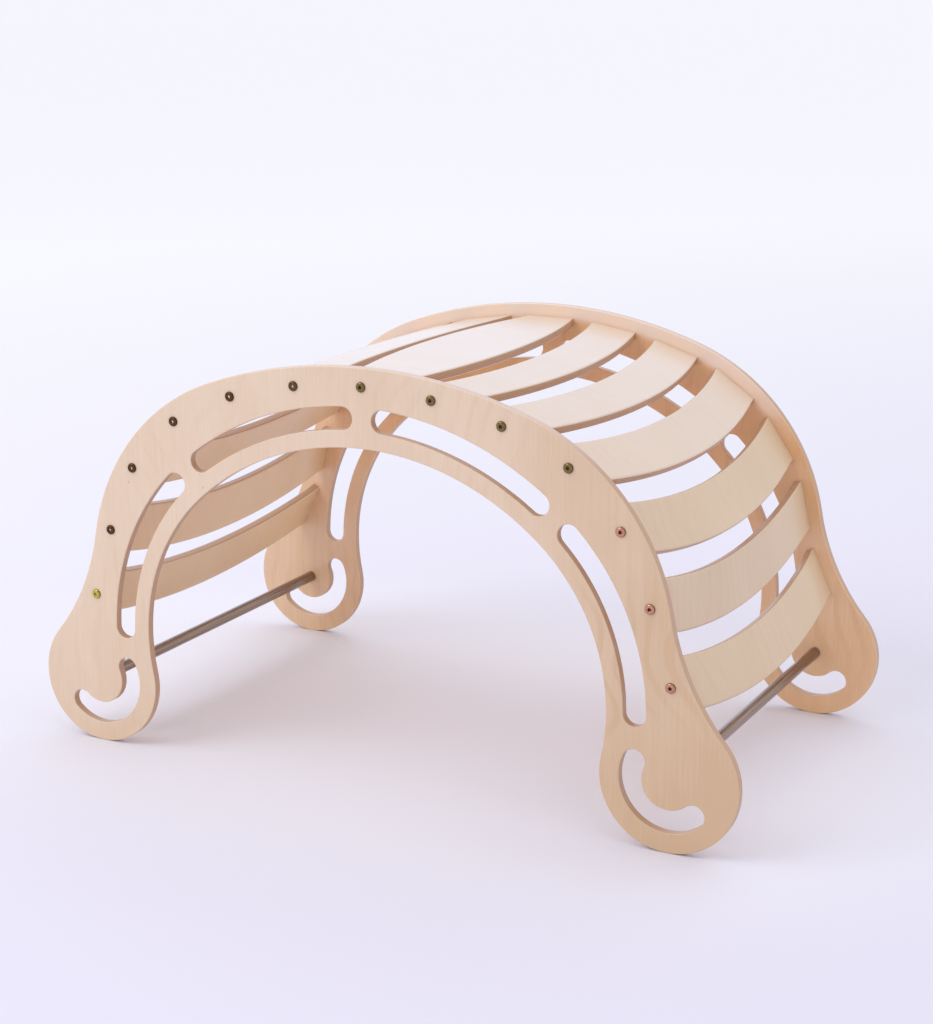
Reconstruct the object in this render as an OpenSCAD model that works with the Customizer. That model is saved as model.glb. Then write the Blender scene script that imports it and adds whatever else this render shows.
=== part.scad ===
// Curvy balance board: two plywood side panels, thirteen bowed slats, two steel rungs.
// Millimetres, Z up, X along the length, Y across the width, origin on the floor under the middle.

/* [Overall] */
// thickness of the plywood used for panels and slats
ply = 12; // [9:1:18]
// clear width between the two panels, also the length of a slat
clear_w = 538; // [420:2:640]
// height of the panel at the crown
height = 556; // [550:1:562]
// distance of each foot centre from the middle
foot_x = 416; // [410:1:420]
// radius of the round feet
foot_r = 90; // [86:1:93]

/* [Outline] */
// radius of the flat arc over the crown
crown_r = 664; // [640:2:700]
// angle from upright at which the crown hands over to the shoulder
crown_angle = 20; // [18:0.5:21]
// radius of the shoulder arc
shoulder_r = 292; // [286:1:298]
// radius of the hollow arc between shoulder and foot
waist_r = 310; // [280:2:340]
// depth of the panel at the crown, from the rim to the arch opening
crown_depth = 102; // [98:1:108]
// radius of the arch opening over the middle
arch_r = 370; // [364:1:376]
// angle from upright at which the arch hands over to the leg curve
arch_angle = 40.3; // [39:0.1:41]

/* [Cut-outs] */
// web left between the arch opening and the long slots
slot_in = 22.5; // [20:0.5:25]
// width of the long slots
slot_w = 29.5; // [24:0.5:31]
// set-back of an upper slot from the middle and from the end of the arch arc
upper_set = 28.4; // [26:0.1:40]
// set-back of a lower slot from the start of the leg curve
lower_set = 25; // [23:0.5:40]
// set-back of a lower slot from the foot
foot_set = 67.8; // [60:0.1:90]
// radius of the centre line of the curved slot in a foot
ring_r = 49.5; // [47:0.5:52]
// width of the curved slot in a foot
ring_w = 29; // [24:0.5:31]
// angle from upright of the upper end of the foot slot
ring_angle = 66; // [60:1:72]
// angle swept by the foot slot
ring_sweep_angle = 155; // [140:1:165]

/* [Slats] */
// width of a slat at its ends
slat_w = 68.5; // [60:0.5:74]
// how far the long edges swing out at mid length
bow = 33; // [20:1:40]
// distance along the line of the screws from the last slat to the foot
last_set = 91.4; // [80:0.1:100]
// depth of the screw line below the rim of the panel
rim_in = 24; // [22:0.5:26]

/* [Fixings] */
// diameter of the screw head
head_d = 13; // [11:0.5:15]
// height of the screw head
head_h = 3; // [2:0.5:4]
// width of the rounded-off border of the screw head
head_edge = 1; // [0.5:0.25:1.5]
// hex key size of the screw
hex_af = 4; // [3:0.5:5]
// depth of the hex socket
hex_depth = 2.2; // [1.5:0.1:2.5]
// diameter of the screw shank
shank_d = 5.4; // [4:0.2:6]
// length of the screw below its head
shank_l = 50; // [36:1:60]
// diameter of the wooden dowels
dowel_d = 6; // [5:0.5:7]
// depth of a dowel hole in the panel
dowel_in = 8; // [6:0.5:8.5]
// depth of a dowel hole in the slat
dowel_out = 14; // [10:1:20]
// distance of the dowels from the screw
dowel_off = 22; // [18:1:26]
// diameter of the steel rungs
rung_d = 16; // [12:1:20]
// depth of the socket that holds a rung
rung_in = 6; // [4:0.5:8]
// chamfer on the ends of a rung
rung_edge = 1; // [0.5:0.25:2]
// gap around and behind every piece that sits in a hole
slip = 0.3; // [0.2:0.05:0.4]

/* [Hidden] */
$fn = 96;
slat_count = 13;
side_max = (slat_count - 1) / 2;
half_w = clear_w / 2;
face_y = half_w + ply;
// Overlaps that let the outline arcs run into one another without a seam.
lap = 0.01;
turn_angle = 4;

// Direction at an angle from upright, turning towards +X.
function dir(a) = [sin(a), cos(a)];

// Angle from upright of the direction from one point to another.
function aim(p, q) = atan2(q[0] - p[0], q[1] - p[1]);

// Corner of the triangle on pq with the given side lengths, on the outer side.
function apex(p, q, rp, rq) =
    let (d = q - p, l = norm(d), u = d / l)
    let (along = (l * l + rp * rp - rq * rq) / (2 * l))
    p + along * u + sqrt(rp * rp - along * along) * [-u[1], u[0]];

// Centres of the outline arcs on the right half.
foot_c = [foot_x, foot_r];
crown_c = [0, height - crown_r];
shoulder_c = crown_c + (crown_r - shoulder_r) * dir(crown_angle);
waist_c = apex(shoulder_c, foot_c, shoulder_r + waist_r, foot_r + waist_r);
shoulder_a = aim(shoulder_c, waist_c);

// Depth of the strip over the crown, reaching well into the arch opening.
crown_t = 1.4 * crown_depth;

// Arch centre, and the leg curve that runs from the arch into the foot.
arch_c = [0, height - crown_depth - arch_r];
arch_d = arch_c - foot_c;
arch_s = arch_r + foot_r;
leg_shift = (arch_d * arch_d - arch_s * arch_s) / (2 * (arch_s + arch_d * dir(arch_angle)));
leg_r = arch_r + leg_shift;
leg_c = arch_c - leg_shift * dir(arch_angle);
leg_a = aim(leg_c, foot_c);

// Centre lines of the long slots, and the angles at their ends.
rad = PI / 180;
upper_r = arch_r + slot_in + slot_w / 2;
lower_r = leg_r + slot_in + slot_w / 2;
upper_a0 = upper_set / upper_r / rad;
upper_a1 = arch_angle - upper_a0;
lower_a0 = arch_angle + lower_set / lower_r / rad;
lower_a1 = leg_a - foot_set / lower_r / rad;

// Lengths of the screw line over the crown, the shoulder and the waist.
line_crown = (crown_r - rim_in) * crown_angle * rad;
line_shoulder = (shoulder_r - rim_in) * (shoulder_a - crown_angle) * rad;
line_waist = (waist_r + rim_in) * (shoulder_a - aim(foot_c, waist_c)) * rad;

// Spacing of the slats along the screw line.
pitch = (line_crown + line_shoulder + line_waist - last_set) / side_max;

// Slope of the screw line at a distance from the middle.
function line_a(s) =
    s <= line_crown ? s / (crown_r - rim_in) / rad
    : s <= line_crown + line_shoulder ? crown_angle + (s - line_crown) / (shoulder_r - rim_in) / rad
    : shoulder_a - (s - line_crown - line_shoulder) / (waist_r + rim_in) / rad;

// Point of the screw line at a distance from the middle.
function line_p(s) =
    s <= line_crown ? crown_c + (crown_r - rim_in) * dir(line_a(s))
    : s <= line_crown + line_shoulder ? shoulder_c + (shoulder_r - rim_in) * dir(line_a(s))
    : waist_c - (waist_r + rim_in) * dir(line_a(s));

// Slats are counted from the left foot, the middle one has step 0.
function step(k) = k - 1 - side_max;

// Radius of the swinging long edges of a slat.
edge_r = (half_w * half_w + bow * bow) / (2 * bow);

// Flat sector with its point at c, between two angles from upright.
module sector(c, r, a0, a1) {
    far = 1.2 * r / cos((a1 - a0) / 2);
    intersection() {
        translate(c) circle(r);
        polygon([c, c + far * dir(a1), c + far * dir(a0)]);
    }
}

// Flat strip along an arc about c, between two radii.
module band(c, r0, r1, a0, a1) {
    difference() {
        sector(c, r1, a0, a1);
        translate(c) circle(r0);
    }
}

// Flat slot along an arc about c with round ends.
module arc_slot(c, r, w, a0, a1) {
    band(c, r - w / 2, r + w / 2, a0, a1);
    for (a = [a0, a1]) translate(c + r * dir(a)) circle(w / 2 + lap);
}

// Right leg: shoulder, foot and the strip beside the arch, hollowed at the waist.
module leg_body() {
    difference() {
        union() {
            sector(shoulder_c, shoulder_r + lap, crown_angle - turn_angle, shoulder_a + turn_angle);
            polygon([leg_c, foot_c, waist_c, shoulder_c]);
            translate(foot_c) circle(foot_r);
        }
        translate(waist_c) circle(waist_r + lap);
    }
}

// Openings on the right half of a panel.
module leg_cuts() {
    sector(leg_c, leg_r + lap, arch_angle - turn_angle, leg_a + turn_angle);
    arc_slot(arch_c, upper_r, slot_w, upper_a0, upper_a1);
    arc_slot(leg_c, lower_r, slot_w, lower_a0, lower_a1);
    arc_slot(foot_c, ring_r, ring_w, -ring_angle - ring_sweep_angle, -ring_angle);
}

// Outline of a panel, both halves.
module panel_shape() {
    difference() {
        union() {
            band(crown_c, crown_r - crown_t, crown_r, -crown_angle, crown_angle);
            leg_body();
            mirror([1, 0]) leg_body();
        }
        sector(arch_c, arch_r, -arch_angle, arch_angle);
        leg_cuts();
        mirror([1, 0]) leg_cuts();
    }
}

// Middle of slat k as [x, z].
function slat_p(k) =
    let (p = line_p(abs(step(k)) * pitch))
    [sign(step(k)) * p[0], p[1]];

// Tilt of slat k about Y.
function slat_t(k) = sign(step(k)) * line_a(abs(step(k)) * pitch);

// Moves a child from the flat into the place of slat k.
module at_slat(k) {
    translate([slat_p(k)[0], 0, slat_p(k)[1]]) rotate([0, slat_t(k), 0]) children();
}

// Panel with screw holes, dowel holes and rung sockets, outer face on the -Y side.
module panel() {
    difference() {
        translate([0, -half_w, 0]) rotate([90, 0, 0]) linear_extrude(ply) panel_shape();
        for (k = [1:slat_count]) at_slat(k) {
            translate([0, -half_w + 1, 0]) rotate([90, 0, 0])
                cylinder(d = shank_d + 2 * slip, h = ply + 2);
            for (s = [-1, 1]) translate([s * dowel_off, -half_w - dowel_in, 0]) rotate([-90, 0, 0])
                cylinder(d = dowel_d + 2 * slip, h = dowel_in + 1);
        }
        for (s = [-1, 1]) translate([s * foot_x, -half_w - rung_in, foot_r]) rotate([-90, 0, 0])
            cylinder(d = rung_d + 2 * slip, h = rung_in + 1);
    }
}

// Flat outline of a slat; the long edges swing towards the side given, or both ways for 0.
module slat_shape(side) {
    intersection() {
        difference() {
            square([slat_w + 4 * bow, clear_w], center = true);
            if (side > 0) translate([-slat_w / 2 + bow - edge_r, 0]) circle(edge_r);
            if (side < 0) translate([slat_w / 2 - bow + edge_r, 0]) circle(edge_r);
        }
        if (side >= 0) translate([slat_w / 2 + bow - edge_r, 0]) circle(edge_r);
        if (side <= 0) translate([-slat_w / 2 - bow + edge_r, 0]) circle(edge_r);
    }
}

// Holes in one end of a slat.
module slat_holes() {
    translate([0, -half_w - 1, 0]) rotate([-90, 0, 0])
        cylinder(d = shank_d + 2 * slip, h = shank_l - ply + slip + 1);
    for (s = [-1, 1]) translate([s * dowel_off, -half_w - 1, 0]) rotate([-90, 0, 0])
        cylinder(d = dowel_d + 2 * slip, h = dowel_out + 1);
}

// Slat k in its place.
module slat(k) {
    color("#dcc3ae") at_slat(k) difference() {
        linear_extrude(ply, center = true) slat_shape(sign(step(k)));
        slat_holes();
        mirror([0, 1, 0]) slat_holes();
    }
}

// Steel rung between the feet, on the given side.
module rung(s) {
    l = clear_w + 2 * rung_in - 2 * slip;
    color("#8f8d8c") translate([s * foot_x, -l / 2, foot_r]) rotate([-90, 0, 0]) {
        translate([0, 0, rung_edge]) cylinder(d = rung_d, h = l - 2 * rung_edge);
        cylinder(d1 = rung_d - 2 * rung_edge, d2 = rung_d, h = rung_edge);
        translate([0, 0, l - rung_edge])
            cylinder(d1 = rung_d, d2 = rung_d - 2 * rung_edge, h = rung_edge);
    }
}

// One hex-socket screw with its head on the -Y side.
module screw() {
    translate([0, -face_y, 0]) rotate([90, 0, 0]) difference() {
        union() {
            translate([0, 0, -shank_l]) cylinder(d = shank_d, h = shank_l + 0.5);
            cylinder(d = head_d, h = head_h - head_edge);
            translate([0, 0, head_h - head_edge])
                cylinder(d1 = head_d, d2 = head_d - 2 * head_edge, h = head_edge);
        }
        translate([0, 0, head_h - hex_depth])
            cylinder(d = hex_af / cos(30), h = hex_depth + 1, $fn = 6);
    }
}

// The screws of one panel, one to each slat end.
module screws() {
    color("#5a3d1e") for (k = [1:slat_count]) at_slat(k) screw();
}

// The dowels of one panel, a pair to each slat end.
module dowels() {
    l = dowel_in + dowel_out - 2 * slip;
    color("#c9a27c") for (k = [1:slat_count]) at_slat(k)
        for (s = [-1, 1]) translate([s * dowel_off, -half_w - dowel_in + slip, 0])
            rotate([-90, 0, 0]) cylinder(d = dowel_d, h = l);
}

// Copies a front piece to the rear.
module rear() {
    mirror([0, 1, 0]) children();
}

// Panel on the front side.
module front_panel() {
    color("#e2c9b8") panel();
}

// Panel on the rear side.
module rear_panel() {
    color("#e2c9b8") rear() panel();
}

// Lowest slat at the left foot.
module slat_01() {
    slat(1);
}

// Slat 2 from the left foot.
module slat_02() {
    slat(2);
}

// Slat 3 from the left foot.
module slat_03() {
    slat(3);
}

// Slat 4 from the left foot.
module slat_04() {
    slat(4);
}

// Slat 5 from the left foot.
module slat_05() {
    slat(5);
}

// Slat 6 from the left foot.
module slat_06() {
    slat(6);
}

// Barrel-shaped slat at the crown.
module slat_07() {
    slat(7);
}

// Slat 8 from the left foot.
module slat_08() {
    slat(8);
}

// Slat 9 from the left foot.
module slat_09() {
    slat(9);
}

// Slat 10 from the left foot.
module slat_10() {
    slat(10);
}

// Slat 11 from the left foot.
module slat_11() {
    slat(11);
}

// Slat 12 from the left foot.
module slat_12() {
    slat(12);
}

// Lowest slat at the right foot.
module slat_13() {
    slat(13);
}

// Rung between the left feet.
module left_rung() {
    rung(-1);
}

// Rung between the right feet.
module right_rung() {
    rung(1);
}

// Screws of the front panel.
module front_screws() {
    screws();
}

// Screws of the rear panel.
module rear_screws() {
    rear() screws();
}

// Dowels of the front panel.
module front_dowels() {
    dowels();
}

// Dowels of the rear panel.
module rear_dowels() {
    rear() dowels();
}

front_panel();
rear_panel();
slat_01();
slat_02();
slat_03();
slat_04();
slat_05();
slat_06();
slat_07();
slat_08();
slat_09();
slat_10();
slat_11();
slat_12();
slat_13();
left_rung();
right_rung();
front_screws();
rear_screws();
front_dowels();
rear_dowels();
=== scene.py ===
"""Curvy balance board: plywood panels and slats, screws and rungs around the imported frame."""

import math

import bpy
from mathutils import Matrix, Vector
from mathutils.geometry import tessellate_polygon


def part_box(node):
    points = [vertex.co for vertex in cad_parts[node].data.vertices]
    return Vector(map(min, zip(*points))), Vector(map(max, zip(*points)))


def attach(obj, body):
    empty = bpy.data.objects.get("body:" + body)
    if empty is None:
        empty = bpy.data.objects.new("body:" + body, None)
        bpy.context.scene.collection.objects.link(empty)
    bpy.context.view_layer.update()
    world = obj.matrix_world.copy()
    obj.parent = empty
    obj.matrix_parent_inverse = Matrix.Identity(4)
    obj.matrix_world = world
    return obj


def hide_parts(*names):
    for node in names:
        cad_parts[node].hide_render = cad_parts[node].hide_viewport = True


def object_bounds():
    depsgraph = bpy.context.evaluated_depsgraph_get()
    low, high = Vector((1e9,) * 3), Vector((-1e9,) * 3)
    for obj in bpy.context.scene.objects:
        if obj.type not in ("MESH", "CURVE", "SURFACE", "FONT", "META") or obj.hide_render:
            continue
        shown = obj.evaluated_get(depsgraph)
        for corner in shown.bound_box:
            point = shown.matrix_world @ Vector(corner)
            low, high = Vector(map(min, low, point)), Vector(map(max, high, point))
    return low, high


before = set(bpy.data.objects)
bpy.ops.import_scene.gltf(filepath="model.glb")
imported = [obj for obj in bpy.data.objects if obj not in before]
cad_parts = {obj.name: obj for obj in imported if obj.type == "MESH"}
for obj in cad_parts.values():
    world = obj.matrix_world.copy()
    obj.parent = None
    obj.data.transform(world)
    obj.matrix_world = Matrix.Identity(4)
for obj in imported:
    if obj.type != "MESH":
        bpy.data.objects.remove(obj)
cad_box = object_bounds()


def srgb(red, green, blue):
    """Linear colour of a colour given as 0 to 255 on screen."""
    shares = (c / 255 for c in (red, green, blue))
    linear = [c / 12.92 if c <= 0.04045 else ((c + 0.055) / 1.055) ** 2.4 for c in shares]
    return (*linear, 1.0)


MM = 0.001
RIGHT = Vector((1, 0, 0))
ACROSS = Vector((0, 1, 0))
UP = Vector((0, 0, 1))
QUARTER = math.pi / 2

# Outlines read off the frame
SAME_WAY = 0.999            # least cosine between two faces of one plane
SAME_LEVEL = 0.01 * MM      # largest step between two faces of one plane
DIGITS = 6                  # decimals of a metre to which points are rounded
SHARP = math.radians(40)    # turn that makes a corner
CORNER = 2.0 * MM           # radius of a slat's corners
CORNER_STEPS = 5            # facets around a corner
ARC_STEP = 8 * MM           # longest stretch of a curved edge between two points
ARC_TURN = math.radians(4)  # largest turn of a curved edge between two points
HOLE = 20 * MM              # narrower holes are covered by a screw head and left out

# Plywood edges
PANEL_EASE = 1.5 * MM       # radius of a panel's rounded edges
SLAT_EASE = 3.0 * MM        # radius of a slat's rounded edges
END_EASE = 0.8 * MM         # the same where a slat butts against a panel
END_FADE = 22 * MM          # stretch of a slat's edge over which the radius changes
EASE_STEPS = 6              # facets across a rounded edge
PLIES = 9                   # layers in the plywood
GLUE = 0.12                 # share of a layer, at each side, that fades into the glue line
PANEL_FADE = 0.25 * MM      # half the depth over which a panel's veneer gives way to the layers
SLAT_FADE = 0.8 * MM        # the same for a slat, which is sanded rounder

# Arcs of a panel's outline over the arch, seen from the middle of the panel
CROWN_R = 664 * MM
SHOULDER_R = 292 * MM
CROWN_SPAN = math.radians(20)  # from the top to where the crown hands over to the shoulder
PANEL_TOP = (cad_box[1][2] - cad_box[0][2]) / 2
CROWN_AT = (0.0, PANEL_TOP - CROWN_R)
SHOULDER_AT = (
    (CROWN_R - SHOULDER_R) * math.sin(CROWN_SPAN),
    CROWN_AT[1] + (CROWN_R - SHOULDER_R) * math.cos(CROWN_SPAN),
)

# Plywood colours, with a pale and a deep one for each veneer and for the layers
PANEL = srgb(235, 210, 184), srgb(214, 180, 143)
# Painted bounce light: the inner veneers are warmer than the outer ones, and the slats' also lighter,
# in place of light bounced between the pieces
PANEL_INNER_BOUNCE = srgb(240, 208, 177), srgb(219, 177, 134)
SLAT = srgb(224, 197, 164), srgb(211, 180, 145)
SLAT_INNER_BOUNCE = srgb(241, 208, 166), srgb(229, 191, 147)
LAYERS = srgb(207, 168, 138), srgb(190, 149, 119)
GLUE_TONE = srgb(134, 92, 66)
SKIN_TONE = srgb(140, 98, 74)        # the layers next to the faces
PORE_TONE = srgb(150, 104, 70)
KNOT_TONE = srgb(128, 84, 54)
TOP_LIGHT_TONE = srgb(243, 227, 222)         # painted light: the sheen on the top slats and the lit upward panel edges over the crown
RIM_LIGHT_TONE = srgb(246, 224, 208)       # painted light: the inner panel faces along the crown, lit over the slats
WARM_BOUNCE_TINT = (1.0, 0.84, 0.63, 1.0)        # painted bounce light: warm tint of the inner panel faces towards the top, under the slats
LEG_LIGHT_GAIN = (1.13, 1.13, 1.13, 1.0)   # painted light: how much lighter the inner panel faces are on one leg

# Places on a plywood piece where a change of tone begins and ends, seen from the piece's middle
FRONT_DRIFT = (0.0, 0.5)             # the X where the veneer is palest, the X where it is deepest
REAR_DRIFT = (1.4, -1.4)
SLAT_DRIFT = (-0.5, 0.5)
FOOT_Y = (-60 * MM, -270 * MM)       # deeper towards the feet
WARM_Y = (-100 * MM, 140 * MM)
LEG_X = (-200 * MM, -360 * MM)
LEG_Y = (60 * MM, -100 * MM)
RIM_IN = (12 * MM, 26 * MM)          # depth inside the outline
RIM_Y = (90 * MM, 210 * MM)
CREST_Y = (100 * MM, 220 * MM)
CREST_UP = (0.7, 0.95)               # upward share of the surface's normal
TOP_Z = (360 * MM, 460 * MM)         # height of the piece's middle over the floor

# Plywood figure, in waves to the metre along a piece's X, Y and Z
WARP_WAVES = (3.0, 3.4, 1.0)
PATCH_WAVES = (4.0, 3.0, 1.0)
FIBRE_WAVES = (900, 14, 60)
STREAK_WAVES = (240, 3.0, 20)
CLOUD_WAVES = (8, 4, 5)
PORE_WAVES = (620, 50, 60)
END_WAVES = (260, 260, 900)
WOBBLE_WAVES = (22, 22, 5)
KNOT_CELLS = (3.2, 1.8, 0.0)
KNOT_R = (0.0016, 0.0050)            # dark and clear radius of a pin knot, in cells
RINGS = 34.0                         # growth rings to the metre
RING_WARP = 11.0                     # rings by which the warp shifts them
RING_LEVELS = (0.1, 1.0)             # where a ring begins to show and is full
PATCH_LEVELS = (0.42, 0.58)          # the same for a patch of rings
PORE_LEVELS = (0.66, 0.76)           # the same for a pore
END_LEVELS = (0.3, 0.75)             # the same for the end grain's dark spots
OWN_CUT = (9.7, 13.1, 11.3)          # shift of the figure for each metre between two pieces

# Parts that add up to the veneer's tone
PANEL_FLAME = 0.36                   # the rings, where they are strongest
SLAT_FLAME = 0.18
LEAST_FLAME = 0.08                   # the rings, where they are weakest
STREAK_PART = 0.45
FIBRE_PART = 0.6
DRIFT_PART = 0.4                     # less at the pale end, more at the deep end
FOOT_PART = 0.35
TONE_RANGE = (0.50, 1.60)            # the sums at which the veneer is palest and deepest

# How much of a tone is laid over the wood
PORE_SHARE = 0.10
KNOT_SHARE = 0.35
GLUE_SHARE = 0.20
END_SHARE = 0.3
SKIN_SHARE = 0.36
SKIN_FROM = (0.24, 0.38)             # where that begins and is full, in shares of the thickness
# painted light: the next three shares lay the sheen on the top pieces, the lit rim and the lit crest
TOP_SHARE = 0.35
RIM_SHARE = 0.85
CREST_SHARE = 0.38
WOBBLE = 0.3                         # layers by which the layers waver

# Screws and rungs
SEGMENTS = 48               # facets around a screw
RUNG_SEGMENTS = 72          # facets around a rung
SCREW_REACH = 20 * MM       # points closer than this belong to one screw
SHANK = 0.42                # shank's radius as a share of the head's
TIP_EASE = 1.0 * MM         # chamfer at the shank's tip
HEAD_EASE = 0.15 * MM       # chamfer under the head
BRIM = 0.8 * MM             # height of the head's upright rim
HEAD_FLAT = 0.48            # flat share of the head's radius
HEAD_STEPS = 8              # facets up the head's dome
SOCKET = 4.0 * MM           # hex key size
SOCKET_EASE = 0.35 * MM     # chamfer at the mouth of the socket
SOCKET_DEPTH = 2.2 * MM
POINT_R = 0.3 * MM          # end of the drill's point in the socket's floor
POINT_DEPTH = 0.4 * MM
SCREW_TURN = 2.4            # radians from one screw's socket to the next one's
RUNG_EASE = 1.0 * MM        # chamfer on the rung's ends
FOLD = math.radians(35)     # edges of screws and rungs sharper than this stay sharp

# Metal and beech colours; places along the arch are shares of the way to the outermost screws
SCREW_INSET = 90 * MM       # from a panel's end to about its outermost screw
# partly painted reflection: the zinc tones along the arch stand in part for what the heads mirror,
# dark for the bronze ones
GREEN_GOLD = srgb(198, 188, 78)
BRONZE = srgb(92, 66, 48)
OLIVE = srgb(126, 112, 70)
COPPER = srgb(206, 148, 126)
BRONZE_FROM = (-0.99, -0.95)
OLIVE_FROM = (-0.35, 0.0)
COPPER_FROM = (0.66, 0.82)
# painted shade on the heads' shoulders
SHOULDER_SHADE = srgb(70, 50, 36)
STAIN = srgb(100, 76, 50)
# painted highlight and painted shade for the sockets' floors
SOCKET_HIGHLIGHT = srgb(230, 208, 178)
SOCKET_SHADE = srgb(90, 44, 34)
SOCKET_FLOOR = (1.6 * MM, 2.0 * MM)  # depths between which the tone of the socket's floor sets in
STAIN_WAVES = (260, 260, 260)
SCRATCH_WAVES = (1500, 300, 1500)
STEEL = srgb(140, 119, 106), srgb(168, 149, 136)
DRAWN_WAVES = (1400, 1400, 10)
CHATTER_WAVES = (40, 40, 1600)
BEECH = srgb(214, 178, 142), srgb(186, 144, 108)
BEECH_WAVES = (900, 40, 900)

# Studio floor, in metres
FLOOR = 80.0                         # half its side
# painted light: the floor's tone gets lighter far off and towards the back left
FLOOR_TONES = srgb(226, 223, 240), srgb(252, 251, 255)
FLOOR_WAY = (-0.85, 0.75, 0.0)       # the way in which it gets lighter
FLOOR_DEPTH = (-1.6, 6.5)            # how far along that way this begins and ends
FLOOR_FAR = (4.0, 26.0)              # how far off, in all directions, the same begins and ends
MOTTLE_WAVES = (1.2, 1.2, 1.2)
MOTTLE = 0.5                         # metres by which the mottle shifts the way's begin and end
STAND = (1.33, 2.0, 0.0)             # scale of the painted pool of light under the object, which lightens its shadow
STAND_FADE = (0.5, 1.4)              # where that patch begins and ends to fade, at this scale
STAND_LIGHT_GAIN = 0.38

# Studio light; a share is the cosine between a direction and the one named
WALL_WAY = (-0.43, 0.88, 0.20)
WALL_SHARE = (0.74, 0.98)
WALL_LEVEL = 0.30
WALL_TINT = (0.83, 0.945, 1.18, 1.0)
ROOM_SHARE = (0.1, 0.7)              # from near the ground to high up
ROOM_LEVELS = (0.98, 0.71)
ROOM_TINT = (0.98, 0.98, 1.0, 1.0)
RIGHT_SHARE = (0.2, 0.95)
RIGHT_LEVEL = -0.14
OVERHEAD_AT = (0.85, 0.85, 3.2)
OVERHEAD_LEVEL = 0.72
OVERHEAD_ANGLE = math.radians(80)
KEY_AT = (-2.0, -2.4, 3.2)
KEY_AIM = (-0.1, 0, 0.45)
KEY_LEVEL = 42.0
KEY_TINT = (0.97, 0.985, 1.0)
KEY_SIZE = 2.4

# Camera, from the photograph
LONG_SIDE = 1024            # long side of the picture, in pixels
FOCAL_PX = 2120.6           # focal length, in pixels
SENSOR = 36.0
CAMERA_AT = Vector((1.2868, -2.4890, 1.0453))
CAMERA_TURN = math.radians(27.326)
CAMERA_TILT = math.radians(14.736)
CLIP_END = 300.0


# Shapes taken from the frame

def broad_face(node):
    """Normal and edge loops of the broad face that looks away from the middle of the floor."""
    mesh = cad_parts[node].data
    low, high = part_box(node)
    middle = (low + high) / 2
    outer = [p for p in mesh.polygons if p.normal.dot(middle) > 0]
    largest = max(outer, key=lambda p: p.area)
    normal = largest.normal.copy()
    level = normal.dot(largest.center)
    face = [
        p for p in outer
        if p.normal.dot(normal) > SAME_WAY and abs(normal.dot(p.center) - level) < SAME_LEVEL
    ]
    spot = [tuple(round(c, DIGITS) for c in v.co) for v in mesh.vertices]
    # a dict keeps the order, so the loops always start at the same points
    edges = {}
    for p in face:
        ring = [spot[i] for i in p.vertices]
        for start, end in zip(ring, ring[1:] + ring[:1]):
            edges[start, end] = True
    after = {start: end for start, end in edges if (end, start) not in edges}
    loops = []
    while after:
        start, point = after.popitem()
        loop = [start]
        while point != start:
            loop.append(point)
            point = after.pop(point)
        loops.append([Vector(p) for p in loop])
    return normal, loops


def clusters(node, reach):
    """Middle of each separate solid of a node, as (x, z), for solids that run along Y."""
    groups = []
    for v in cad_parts[node].data.vertices:
        spot = Vector((v.co.x, v.co.z))
        near = next((g for g in groups if (g[0] - spot).length < reach), None)
        if near is None:
            groups.append([spot])
        else:
            near.append(spot)
    return [
        Vector([(min(p[i] for p in g) + max(p[i] for p in g)) / 2 for i in (0, 1)])
        for g in groups
    ]


def wrapped(angle):
    """The angle between minus and plus half a turn."""
    return math.remainder(angle, math.tau)


def direction(angle):
    return Vector((math.cos(angle), math.sin(angle)))


def headings(loop):
    """Directions at both ends of each chord of a closed loop, and which of its points are corners."""
    count = len(loop)
    chords = [loop[(i + 1) % count] - loop[i] for i in range(count)]
    lengths = [c.length for c in chords]
    aims = [math.atan2(c.y, c.x) for c in chords]
    turns = [wrapped(aims[i] - aims[i - 1]) for i in range(count)]
    corner = [abs(t) > SHARP for t in turns]
    bend = [
        0 if corner[i] else abs(turns[i]) / (lengths[i] + lengths[i - 1])
        for i in range(count)
    ]
    # share of a point's turn that belongs to the chord before it
    before = []
    for i in range(count):
        behind = bend[i - 1] * lengths[i - 1]
        ahead = bend[(i + 1) % count] * lengths[i]
        before.append(behind / (behind + ahead) if behind + ahead > 0 else 0.5)
    ways = []
    for i in range(count):
        j = (i + 1) % count
        leave = None if corner[i] else aims[i] - turns[i] * (1 - before[i])
        arrive = None if corner[j] else aims[i] + turns[j] * before[j]
        if leave is None and arrive is None:
            leave = arrive = aims[i]
        elif leave is None:
            leave = 2 * aims[i] - arrive
        elif arrive is None:
            arrive = 2 * aims[i] - leave
        ways.append((leave, arrive))
    return ways, corner


def rounded_corner(point, came, leave):
    """Points around a corner that turns the outline from one direction to another."""
    turn = wrapped(leave - came)
    trim = CORNER * math.tan(abs(turn) / 2)
    side = 1 if turn > 0 else -1
    centre = point - trim * direction(came) + side * CORNER * direction(came + QUARTER)
    angles = [came + turn * k / CORNER_STEPS - side * QUARTER for k in range(CORNER_STEPS + 1)]
    return [centre + CORNER * direction(a) for a in angles]


def curve_point(start, end, leave, arrive, t):
    """Point at share t of a cubic curve with given directions at its start and its end."""
    length = (end - start).length
    return (
        (2 * t**3 - 3 * t**2 + 1) * start + (3 * t**2 - 2 * t**3) * end
        + (t**3 - 2 * t**2 + t) * length * direction(leave)
        + (t**3 - t**2) * length * direction(arrive)
    )


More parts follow.
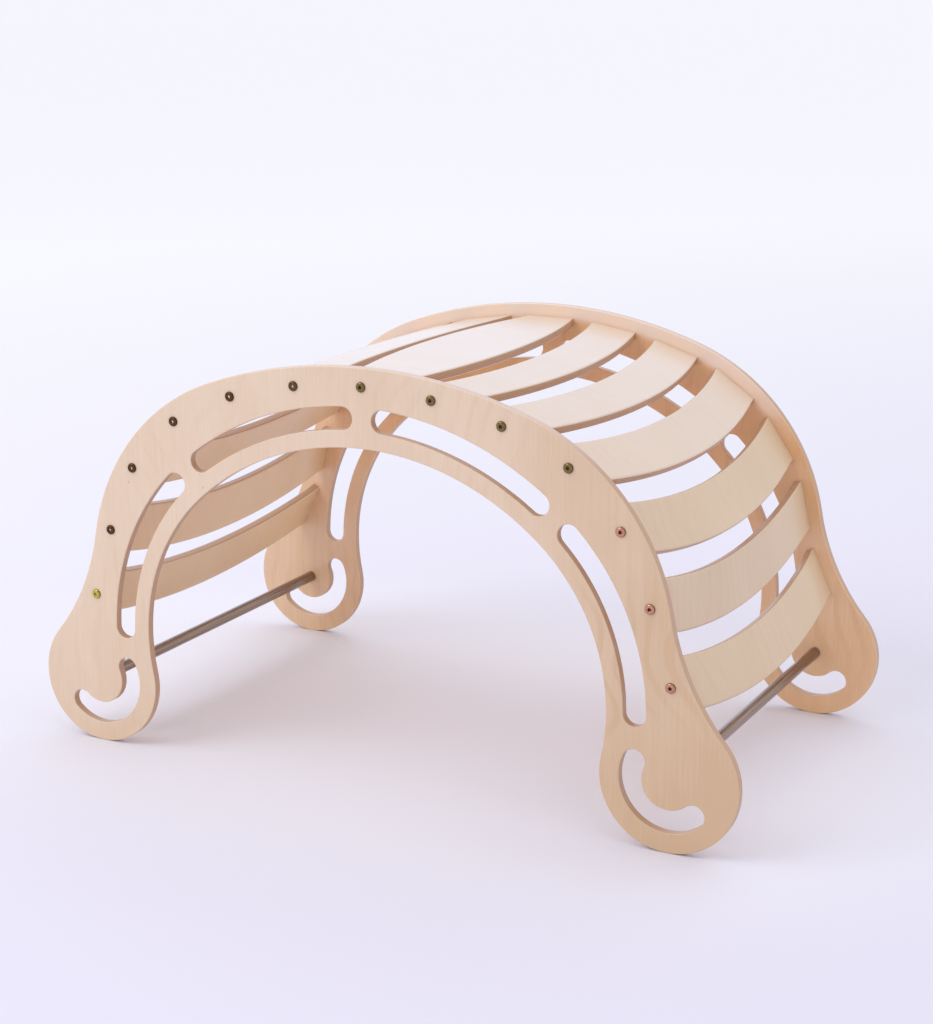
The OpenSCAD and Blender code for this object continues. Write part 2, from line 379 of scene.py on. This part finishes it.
def smooth(loop):
    """The loop with its corners rounded and its curves filled in, as (point, outward) pairs."""
    ways, corner = headings(loop)
    points = []
    for i, start in enumerate(loop):
        j = (i + 1) % len(loop)
        end = loop[j]
        leave, arrive = ways[i]
        points += rounded_corner(start, ways[i - 1][1], leave) if corner[i] else [start]
        corners = [p for p, is_corner in ((start, corner[i]), (end, corner[j])) if is_corner]
        steps = max((end - start).length / ARC_STEP, abs(wrapped(arrive - leave)) / ARC_TURN)
        steps = max(math.ceil(steps), 1)
        for k in range(1, steps):
            spot = curve_point(start, end, leave, arrive, k / steps)
            if all((spot - p).length > 2 * CORNER for p in corners):
                points.append(spot)
    outward = []
    for i, point in enumerate(points):
        back = (point - points[i - 1]).normalized()
        on = (points[(i + 1) % len(points)] - point).normalized()
        along = (back + on).normalized()
        outward.append(Vector((along.y, -along.x)))
    return list(zip(points, outward))


def flat_outlines(node, grain):
    """Place, thickness and smooth outlines of a plywood node, laid flat with its grain along Y."""
    normal, loops = broad_face(node)
    across = grain.cross(normal).normalized()
    grain = normal.cross(across)
    levels = [normal.dot(v.co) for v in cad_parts[node].data.vertices]
    thick = max(levels) - min(levels)
    low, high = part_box(node)
    middle = (low + high) / 2
    middle += normal * (max(levels) - thick / 2 - normal.dot(middle))
    place = Matrix((across, grain, normal)).transposed().to_4x4()
    place.translation = middle
    to_flat = place.inverted()
    outlines = []
    for loop in loops:
        flat = [(to_flat @ p).to_2d() for p in loop]
        if max((p - flat[0]).length for p in flat) > HOLE:
            outlines.append(smooth(flat))
    return place, thick, outlines


# Mesh builders

def new_piece(name, verts, faces, nodes, slot, material):
    """A mesh piece that stands for CAD nodes, which it hides, with the material given; the slot is not
    used.
    """
    mesh = bpy.data.meshes.new(name)
    mesh.from_pydata(verts, [], faces)
    mesh.materials.append(material)
    mesh.polygons.foreach_set("use_smooth", [True] * len(mesh.polygons))
    piece = bpy.data.objects.new(name, mesh)
    bpy.context.scene.collection.objects.link(piece)
    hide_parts(*nodes)
    return piece


def sheet(outlines, thick, ease):
    """Vertices, normals and faces of a flat sheet; ease gives the radius of its edge at a point."""
    turns = [k / EASE_STEPS * QUARTER for k in range(EASE_STEPS + 1)]
    profile = [(a, 1) for a in turns] + [(a, -1) for a in reversed(turns)]
    verts, normals, faces, face_ring, back_ring = [], [], [], [], []
    for outline in outlines:
        count, first = len(outline), len(verts)
        for a, face in profile:
            for point, out in outline:
                spot = point - ease(point) * (1 - math.sin(a)) * out
                verts.append((spot.x, spot.y, face * (thick / 2 - ease(point) * (1 - math.cos(a)))))
                normals.append((out.x * math.sin(a), out.y * math.sin(a), face * math.cos(a)))
        for ring in range(len(profile) - 1):
            start = first + ring * count
            for i in range(count):
                j = (i + 1) % count
                faces.append((start + i, start + count + i, start + count + j, start + j))
        face_ring += range(first, first + count)
        back_ring += range(len(verts) - count, len(verts))
    rims = [[Vector((*(p - ease(p) * out), 0)) for p, out in outline] for outline in outlines]
    for corners in tessellate_polygon(rims):
        a, b, c = (Vector(verts[face_ring[i]]) for i in corners)
        if (b - a).cross(c - a).z < 0:
            corners = corners[::-1]
        faces.append([face_ring[i] for i in corners])
        faces.append([back_ring[i] for i in reversed(corners)])
    return verts, normals, faces


def plate(name, node, grain, slot, material, radius, butted=False):
    """A plywood piece with rounded edges, cut to the outline of its CAD node, grain along its own Y.

    A butted piece meets others at both ends of its X, where its edges stay almost square.
    """
    place, thick, outlines = flat_outlines(node, grain)
    reach = max(abs(p.x) for outline in outlines for p, _ in outline)

    def ease(point):
        """Radius of the rounded edge at a point of the outline."""
        if not butted:
            return radius
        t = min((reach - abs(point.x)) / END_FADE, 1)
        return END_EASE + (radius - END_EASE) * t * t * (3 - 2 * t)

    verts, normals, faces = sheet(outlines, thick, ease)
    piece = new_piece(name, verts, faces, [node], slot, material)
    piece.data.normals_split_custom_set_from_vertices(normals)
    piece.matrix_world = place
    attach(piece, "root")


def lathe(rings):
    """Vertices and faces of a closed turned body; a ring is a list of points, its ends are closed."""
    verts, faces = [], []
    count = len(rings[0])
    for ring in rings:
        verts += ring
    for r in range(len(rings) - 1):
        for i in range(count):
            j = (i + 1) % count
            faces.append((r * count + i, r * count + j, (r + 1) * count + j, (r + 1) * count + i))
    faces.append(list(range(count))[::-1])
    faces.append(list(range(len(verts) - count, len(verts))))
    return verts, faces


def circle(radius, height, segments):
    angles = [math.tau * i / segments for i in range(segments)]
    return [Vector((radius * math.cos(a), radius * math.sin(a), height)) for a in angles]


def hexagon(width, height, segments):
    """Points around a hexagon given by its width across flats, with its corners among them."""
    points = []
    for i in range(segments):
        a = math.tau * i / segments
        part = (a + math.pi / 6) % (math.pi / 3) - math.pi / 6
        radius = width / 2 / math.cos(part - math.copysign(math.pi / 6, part))
        points.append(Vector((radius * math.cos(a), radius * math.sin(a), height)))
    return points


def screw_body(head_r, head_h, shank_l):
    """Vertices and faces of a screw with a domed hex-socket head, its seat at height 0."""
    shank_r = SHANK * head_r
    rings = [
        circle(shank_r - TIP_EASE, -shank_l, SEGMENTS),
        circle(shank_r, TIP_EASE - shank_l, SEGMENTS),
        circle(shank_r, 0, SEGMENTS),
        circle(head_r - HEAD_EASE, 0, SEGMENTS),
        circle(head_r, HEAD_EASE, SEGMENTS),
    ]
    for k in range(HEAD_STEPS + 1):
        a = k / HEAD_STEPS * QUARTER
        radius = head_r * (HEAD_FLAT + (1 - HEAD_FLAT) * math.cos(a))
        rings.append(circle(radius, BRIM + (head_h - BRIM) * math.sin(a), SEGMENTS))
    rings += [
        hexagon(SOCKET + 2 * SOCKET_EASE, head_h, SEGMENTS),
        hexagon(SOCKET, head_h - SOCKET_EASE, SEGMENTS),
        hexagon(SOCKET, head_h - SOCKET_DEPTH, SEGMENTS),
        circle(POINT_R, head_h - SOCKET_DEPTH - POINT_DEPTH, SEGMENTS),
    ]
    return lathe(rings)


def screws(name, node, side, material):
    """The screws of one panel, heads on its outer face; side is -1 at the front, 1 at the rear."""
    low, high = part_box(node)
    panel_low, panel_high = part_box("front_panel" if side < 0 else "rear_panel")
    seat = panel_low.y if side < 0 else panel_high.y
    head_h = seat - low.y if side < 0 else high.y - seat
    shank_l = high.y - seat if side < 0 else seat - low.y
    spots = sorted(clusters(node, SCREW_REACH), key=lambda c: c.x)
    head_r = high.z - max(c.y for c in spots)
    body, body_faces = screw_body(head_r, head_h, shank_l)
    stand = Matrix.Rotation(-side * QUARTER, 4, "X")
    verts, faces = [], []
    for number, spot in enumerate(spots):
        turn = Matrix.Rotation(SCREW_TURN * number, 4, "Z")
        place = Matrix.Translation((spot.x, seat, spot.y)) @ stand @ turn
        faces += [[i + len(verts) for i in face] for face in body_faces]
        verts += [place @ v for v in body]
    piece = new_piece(name, verts, faces, [node], "screw", material)
    piece.data.set_sharp_from_angle(angle=FOLD)
    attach(piece, "root")


def rung(name, node, material):
    """A steel rung with chamfered ends, its axis along the piece's own Z."""
    low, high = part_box(node)
    middle = (low + high) / 2
    radius = (high.z - low.z) / 2
    half = (high.y - low.y) / 2
    rings = [
        circle(radius - RUNG_EASE, -half, RUNG_SEGMENTS),
        circle(radius, RUNG_EASE - half, RUNG_SEGMENTS),
        circle(radius, half - RUNG_EASE, RUNG_SEGMENTS),
        circle(radius - RUNG_EASE, half, RUNG_SEGMENTS),
    ]
    piece = new_piece(name, *lathe(rings), [node], "steel", material)
    piece.data.set_sharp_from_angle(angle=FOLD)
    piece.matrix_world = Matrix.Translation(middle) @ Matrix.Rotation(-QUARTER, 4, "X")
    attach(piece, "root")


# Materials

class Shader:
    """The nodes of a material or world, built up by calls; most calls give back an output socket."""

    def __init__(self, owner, surface="Principled BSDF"):
        self.owner = owner
        self.owner.use_nodes = True
        self.tree = self.owner.node_tree
        self.surface = self.tree.nodes[surface]

    def put(self, socket, value):
        if isinstance(value, bpy.types.NodeSocket):
            self.tree.links.new(value, socket)
        else:
            socket.default_value = value

    def add(self, kind, inputs, output=0, **settings):
        node = self.tree.nodes.new("ShaderNode" + kind)
        for key, value in settings.items():
            setattr(node, key, value)
        for key, value in inputs.items():
            self.put(node.inputs[key], value)
        return node.outputs[output]

    def place(self, kind="Object"):
        return self.add("TexCoord", {}, output=kind)

    def normal(self):
        return self.add("NewGeometry", {}, output="Normal")

    def maths(self, operation, *values, clamp=False):
        return self.add("Math", dict(enumerate(values)), operation=operation, use_clamp=clamp)

    def vector(self, operation, *values):
        return self.add("VectorMath", dict(enumerate(values)), operation=operation)

    def measure(self, operation, *values):
        """A vector operation that gives a number."""
        return self.add("VectorMath", dict(enumerate(values)), output="Value", operation=operation)

    def axes(self, vector):
        node = self.tree.nodes.new("ShaderNodeSeparateXYZ")
        self.put(node.inputs[0], vector)
        return node.outputs

    def noise(self, vector, scale, detail=3.0, roughness=0.55):
        """Noise between about 0.2 and 0.8, with a scale of its own along each axis."""
        stretched = self.vector("MULTIPLY", vector, scale)
        inputs = {"Vector": stretched, "Scale": 1.0, "Detail": detail, "Roughness": roughness}
        return self.add("TexNoise", inputs)

    def between(self, value, low, high, to_low=0.0, to_high=1.0, kind="SMOOTHSTEP"):
        """The value carried over from one range to another, and held at its ends."""
        inputs = {"Value": value, "From Min": low, "From Max": high,
                  "To Min": to_low, "To Max": to_high}
        return self.add("MapRange", inputs, interpolation_type=kind)

    def mix(self, share, first, second, blend="MIX"):
        """Two colours mixed; they go into sockets 6 and 7 of the node."""
        inputs = {0: share, 6: first, 7: second}
        return self.add("Mix", inputs, output=2, data_type="RGBA", blend_type=blend)

    def bump(self, height, strength, distance):
        return self.add("Bump", {"Height": height, "Strength": strength, "Distance": distance})

    def finish(self, **inputs):
        """Sets the surface's inputs and gives back the material or world."""
        for key, value in inputs.items():
            self.put(self.surface.inputs[key.replace("_", " ")], value)
        return self.owner


def rim_depth(s, x, y):
    """How far a point of a panel lies inside the outline over the arch."""
    side = s.maths("ABSOLUTE", x)
    depths = []
    for (at_x, at_y), radius in ((CROWN_AT, CROWN_R), (SHOULDER_AT, SHOULDER_R)):
        arm = {0: s.maths("SUBTRACT", side, at_x), 1: s.maths("SUBTRACT", y, at_y)}
        length = s.measure("LENGTH", s.add("CombineXYZ", arm))
        depths.append(s.maths("SUBTRACT", radius, length))
    border = s.maths("MULTIPLY", s.maths("SUBTRACT", y, CROWN_AT[1]), math.tan(CROWN_SPAN))
    past = s.maths("GREATER_THAN", side, border)
    # the node mixes numbers here, from sockets 2 and 3
    return s.add("Mix", {0: past, 2: depths[0], 3: depths[1]})


def veneer_tone(s, spot, fibre, cloud, x, y, drift, flame_strength):
    """How deep the veneer's colour is, from 0 to 1."""
    # growth rings, drawn out into leaning flames by a slow warp and seen only in patches
    warp = s.noise(spot, WARP_WAVES, detail=2.0)
    rings = s.maths("MULTIPLY_ADD", s.axes(spot)[0], RINGS, s.maths("MULTIPLY", warp, RING_WARP))
    rings = s.maths("SINE", s.maths("MULTIPLY", rings, math.tau))
    patch = s.between(s.noise(spot, PATCH_WAVES, detail=1.0), *PATCH_LEVELS)
    flame = s.maths("MULTIPLY", s.between(rings, *RING_LEVELS), patch)
    flame = s.maths("MULTIPLY", flame, s.between(x, *drift, LEAST_FLAME, flame_strength))
    # streaks, fibres and slow clouds, with the drift along X and towards a panel's feet
    streak = s.noise(spot, STREAK_WAVES, detail=3.0, roughness=0.6)
    tone = s.maths("MULTIPLY_ADD", streak, STREAK_PART, cloud)
    tone = s.maths("MULTIPLY_ADD", fibre, FIBRE_PART, tone)
    tone = s.maths("ADD", tone, flame)
    tone = s.maths("ADD", tone, s.between(x, *drift, -DRIFT_PART, DRIFT_PART))
    tone = s.maths("ADD", tone, s.between(y, *FOOT_Y, 0.0, FOOT_PART))
    return s.between(tone, *TONE_RANGE, kind="LINEAR")


def inner_panel_face(s, veneer, x, y):
    """Inner veneer of a panel, with painted light: warmer towards the top for bounce light, lighter on
    one leg, pale along the crown where it is lit.
    """
    # painted bounce light: warmer towards the top, where the face lies under the slats
    veneer = s.mix(s.between(y, *WARM_Y), veneer, WARM_BOUNCE_TINT, blend="MULTIPLY")
    # painted light: lighter on one leg
    leg = s.maths("MULTIPLY", s.between(x, *LEG_X), s.between(y, *LEG_Y))
    veneer = s.mix(leg, veneer, LEG_LIGHT_GAIN, blend="MULTIPLY")
    # painted light: pale along the crown, where the inner face is lit over the slats
    rim = s.between(rim_depth(s, x, y), *RIM_IN, RIM_SHARE, 0.0)
    rim = s.maths("MULTIPLY", rim, s.between(y, *RIM_Y))
    return s.mix(rim, veneer, RIM_LIGHT_TONE)


def edge_layers(s, spot, ends, z, thick):
    """Layers across the thickness, pale and deep in turn, with glue lines, darker near the faces."""
    pale, deep = LAYERS
    wobble = s.noise(spot, WOBBLE_WAVES, detail=2.0)
    depth = s.maths("MULTIPLY_ADD", z, PLIES / thick, PLIES / 2)
    depth = s.maths("ADD", depth, s.maths("MULTIPLY_ADD", wobble, WOBBLE, -WOBBLE / 2))
    odd = s.maths("MODULO", s.maths("FLOOR", depth), 2.0)
    level = s.maths("ABSOLUTE", s.maths("SUBTRACT", s.maths("FRACT", depth), 0.5))
    line = s.between(level, 0.5 - GLUE, 0.5)
    skin = s.between(s.maths("ABSOLUTE", z), *(share * thick for share in SKIN_FROM))
    layer = s.mix(odd, pale, deep)
    layer = s.mix(s.between(ends, *END_LEVELS, 0.0, END_SHARE), layer, deep)
    layer = s.mix(s.maths("MULTIPLY", line, GLUE_SHARE), layer, GLUE_TONE)
    return s.mix(s.maths("MULTIPLY", skin, SKIN_SHARE), layer, SKIN_TONE)


def plywood(name, thick, outer, inner, drift, panel):
    """Birch plywood, grain along the piece's Y: veneer on the faces, layers on the edges.

    Each veneer has a pale and a deep colour and drifts from one to the other along the piece's X,
    between the two ends given by drift. A panel has stronger rings than a slat, a squarer edge
    and painted light on its inner face and upper edge, which follows the arch.
    """
    s = Shader(bpy.data.materials.new(name))
    at = s.place()
    x, y, z = s.axes(at)
    home = s.add("ObjectInfo", {}, output="Location")
    spot = s.vector("ADD", at, s.vector("MULTIPLY", home, OWN_CUT))
    fibre = s.noise(spot, FIBRE_WAVES, detail=4.0, roughness=0.6)
    cloud = s.noise(spot, CLOUD_WAVES, detail=3.0)
    ends = s.noise(spot, END_WAVES, detail=3.0)
    pore = s.between(s.noise(spot, PORE_WAVES, detail=1.5), *PORE_LEVELS)
    cells = s.vector("MULTIPLY", spot, KNOT_CELLS)
    knot = s.add("TexVoronoi", {"Vector": cells, "Scale": 1.0}, voronoi_dimensions="2D")
    knot = s.between(knot, *KNOT_R, 1.0, 0.0)

    flame_strength = PANEL_FLAME if panel else SLAT_FLAME
    tone = veneer_tone(s, spot, fibre, cloud, x, y, drift, flame_strength)
    # the inner face's colours carry painted bounce light
    inner_face = s.mix(tone, *inner)
    if panel:
        inner_face = inner_panel_face(s, inner_face, x, y)
    face = s.mix(s.between(z, -MM, MM), inner_face, s.mix(tone, *outer))
    # painted sheen: pieces near the top of the arch are paler
    face = s.mix(s.between(s.axes(home)[2], *TOP_Z, 0.0, TOP_SHARE), face, TOP_LIGHT_TONE)
    face = s.mix(s.maths("MULTIPLY", pore, PORE_SHARE), face, PORE_TONE)
    face = s.mix(s.maths("MULTIPLY", knot, KNOT_SHARE), face, KNOT_TONE)

    layer = edge_layers(s, spot, ends, z, thick)
    if panel:
        # painted light: the upward-facing edge over the crown is paler
        up = s.axes(s.normal())[2]
        high_up = s.between(y, *CREST_Y, 0.0, CREST_SHARE)
        crest = s.maths("MULTIPLY", s.between(up, *CREST_UP), high_up)
        layer = s.mix(crest, layer, TOP_LIGHT_TONE)

    bottom = thick / 2 - thick / PLIES
    soft = PANEL_FADE if panel else SLAT_FADE
    on_face = s.between(s.maths("ABSOLUTE", z), bottom - soft, bottom + soft)
    relief = s.maths("MULTIPLY_ADD", pore, -0.6, s.mix(on_face, ends, fibre))
    return s.finish(
        Base_Color=s.mix(on_face, layer, face),
        Roughness=s.between(s.maths("ADD", fibre, cloud), 0.6, 1.4, 0.42, 0.56, kind="LINEAR"),
        Specular_IOR_Level=0.4,
        Coat_Weight=s.between(on_face, 0.0, 1.0, 0.4, 0.8, kind="LINEAR"),
        Coat_Roughness=0.24,
        Normal=s.bump(relief, 0.10, 0.3 * MM),
    )


def zinc(name, reach, tops):
    """Chromated zinc that drifts from green gold through bronze and olive to copper along the arch,
    partly its coat's own colour and partly painted reflection.

    reach is how far the outermost screws lie from the middle in X, tops how far the heads do in Y.
    """
    s = Shader(bpy.data.materials.new(name))
    at = s.place()
    x, y, _ = s.axes(at)
    along = s.maths("DIVIDE", x, reach)
    cloud = s.noise(at, STAIN_WAVES, detail=2.0)
    scratch = s.noise(at, SCRATCH_WAVES, detail=3.0)
    colour = s.mix(s.between(along, *BRONZE_FROM), GREEN_GOLD, BRONZE)
    colour = s.mix(s.between(along, *OLIVE_FROM), colour, OLIVE)
    colour = s.mix(s.between(along, *COPPER_FROM), colour, COPPER)
    # painted shade: the head is darker where its shoulder turns away, as if it mirrored a darker room
    facing = s.maths("ABSOLUTE", s.axes(s.normal())[1])
    colour = s.mix(s.between(facing, 0.3, 0.96, 0.7, 0.0), colour, SHOULDER_SHADE)
    colour = s.mix(s.between(cloud, 0.45, 0.8, 0.0, 0.4), colour, STAIN)
    # painted light in the socket's floor: a highlight on the left, shade from the top of the arch on
    sunk = s.between(s.maths("SUBTRACT", tops, s.maths("ABSOLUTE", y)), *SOCKET_FLOOR)
    sunk = s.maths("MULTIPLY", sunk, s.between(facing, 0.9, 0.97))
    socket_highlight_and_shade = s.mix(s.between(along, *OLIVE_FROM), SOCKET_HIGHLIGHT, SOCKET_SHADE)
    return s.finish(
        Base_Color=s.mix(sunk, colour, socket_highlight_and_shade),
        Metallic=1.0,
        Roughness=s.between(scratch, 0.3, 0.7, 0.10, 0.22, kind="LINEAR"),
        Normal=s.bump(scratch, 0.05, 0.05 * MM),
    )


def steel_bar(name):
    """Drawn steel, with fine lines along the piece's Z and faint marks around it."""
    s = Shader(bpy.data.materials.new(name))
    at = s.place()
    line = s.noise(at, DRAWN_WAVES, detail=3.0)
    chatter = s.noise(at, CHATTER_WAVES, detail=2.0)
    marks = s.maths("ADD", line, chatter)
    return s.finish(
        Base_Color=s.mix(s.between(line, 0.3, 0.7), *STEEL),
        Metallic=1.0,
        Roughness=s.between(marks, 0.6, 1.4, 0.24, 0.36, kind="LINEAR"),
        Normal=s.bump(marks, 0.04, 0.05 * MM),
    )


def dowel_wood(name):
    """Plain beech for the hidden dowels, with fibres along their length."""
    s = Shader(bpy.data.materials.new(name))
    fibre = s.noise(s.place(), BEECH_WAVES, detail=3.0)
    colour = s.mix(s.between(fibre, 0.3, 0.7), *BEECH)
    return s.finish(Base_Color=colour, Roughness=0.6, Normal=s.bump(fibre, 0.2, 0.2 * MM))


def backdrop(name):
    """Pale lavender studio floor with painted light: lighter far off, towards the back left and under
    the object.
    """
    s = Shader(bpy.data.materials.new(name))
    at = s.place()
    mottle = s.noise(at, MOTTLE_WAVES, detail=2.0)
    depth = s.maths("MULTIPLY_ADD", mottle, MOTTLE, s.measure("DOT_PRODUCT", at, FLOOR_WAY))
    # painted light: a pool under the object that lightens its shadow
    stand = s.measure("LENGTH", s.vector("MULTIPLY", at, STAND))
    under = s.between(stand, *STAND_FADE, STAND_LIGHT_GAIN, 0.0)
    share = s.maths("ADD", s.between(depth, *FLOOR_DEPTH), under)
    share = s.maths("ADD", share, s.between(s.measure("LENGTH", at), *FLOOR_FAR), clamp=True)
    return s.finish(Base_Color=s.mix(share, *FLOOR_TONES), Roughness=0.9, Specular_IOR_Level=0.1)


def room(name):
    """A pale room, brighter near the ground, dimmer to the right, with a cool lit wall at the back."""
    s = Shader(bpy.data.worlds.new(name), "Background")
    toward = s.place("Generated")
    wall = s.between(s.measure("DOT_PRODUCT", toward, WALL_WAY), *WALL_SHARE)
    height = s.between(s.measure("DOT_PRODUCT", toward, UP), *ROOM_SHARE, *ROOM_LEVELS)
    right = s.between(s.measure("DOT_PRODUCT", toward, RIGHT), *RIGHT_SHARE, 0.0, RIGHT_LEVEL)
    level = s.maths("MULTIPLY_ADD", wall, WALL_LEVEL, s.maths("ADD", height, right))
    return s.finish(Color=s.mix(wall, ROOM_TINT, WALL_TINT), Strength=level)


# The object

low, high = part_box("front_panel")
ply = high.y - low.y
front_wood = plywood("front_plywood", ply, PANEL, PANEL_INNER_BOUNCE, FRONT_DRIFT, True)
rear_wood = plywood("rear_plywood", ply, PANEL, PANEL_INNER_BOUNCE, REAR_DRIFT, True)
slat_wood = plywood("slat_plywood", ply, SLAT, SLAT_INNER_BOUNCE, SLAT_DRIFT, False)
plate("front_panel_board", "front_panel", UP, "panel_ply", front_wood, PANEL_EASE)
plate("rear_panel_board", "rear_panel", UP, "panel_ply", rear_wood, PANEL_EASE)
for node in sorted(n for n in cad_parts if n.startswith("slat_")):
    outward = broad_face(node)[0]
    grain = ACROSS.cross(outward)
    plate(node + "_board", node, grain, "slat_ply", slat_wood, SLAT_EASE, butted=True)

screw_metal = zinc("yellow_zinc", high.x - SCREW_INSET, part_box("rear_screws")[1].y)
screws("front_screw_set", "front_screws", -1, screw_metal)
screws("rear_screw_set", "rear_screws", 1, screw_metal)
steel = steel_bar("drawn_steel")
rung("left_rung_bar", "left_rung", steel)
rung("right_rung_bar", "right_rung", steel)
beech = dowel_wood("beech")
for node in ("front_dowels", "rear_dowels"):
    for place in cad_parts[node].material_slots:
        place.material = beech


# Studio

def lamp(name, kind, spot, aim, energy, colour):
    """A lamp at a spot, aimed at another."""
    data = bpy.data.lights.new(name, kind)
    data.energy = energy
    data.color = colour
    held = bpy.data.objects.new(name, data)
    bpy.context.scene.collection.objects.link(held)
    held.location = spot
    held.rotation_euler = (Vector(aim) - Vector(spot)).to_track_quat("-Z", "Y").to_euler()
    return data


floor_mesh = bpy.data.meshes.new("floor")
floor_corners = [(-FLOOR, -FLOOR, 0), (FLOOR, -FLOOR, 0), (FLOOR, FLOOR, 0), (-FLOOR, FLOOR, 0)]
floor_mesh.from_pydata(floor_corners, [], [(0, 1, 2, 3)])
floor_mesh.materials.append(backdrop("studio_floor"))
floor = bpy.data.objects.new("floor", floor_mesh)
bpy.context.scene.collection.objects.link(floor)
bpy.context.scene.world = room("studio")

overhead = lamp("overhead", "SUN", OVERHEAD_AT, (0, 0, 0), OVERHEAD_LEVEL, (1.0, 1.0, 1.0))
overhead.angle = OVERHEAD_ANGLE
key = lamp("key", "AREA", KEY_AT, KEY_AIM, KEY_LEVEL, KEY_TINT)
key.shape = "SQUARE"
key.size = KEY_SIZE

lens = bpy.data.cameras.new("camera")
lens.sensor_width = SENSOR
lens.lens = FOCAL_PX * SENSOR / LONG_SIDE
lens.clip_end = CLIP_END
camera = bpy.data.objects.new("camera", lens)
bpy.context.scene.collection.objects.link(camera)
camera.location = CAMERA_AT
camera.rotation_euler = (QUARTER - CAMERA_TILT, 0, CAMERA_TURN)
bpy.context.scene.camera = camera
bpy.context.scene.view_settings.view_transform = "Standard"

bpy.context.view_layer.update()
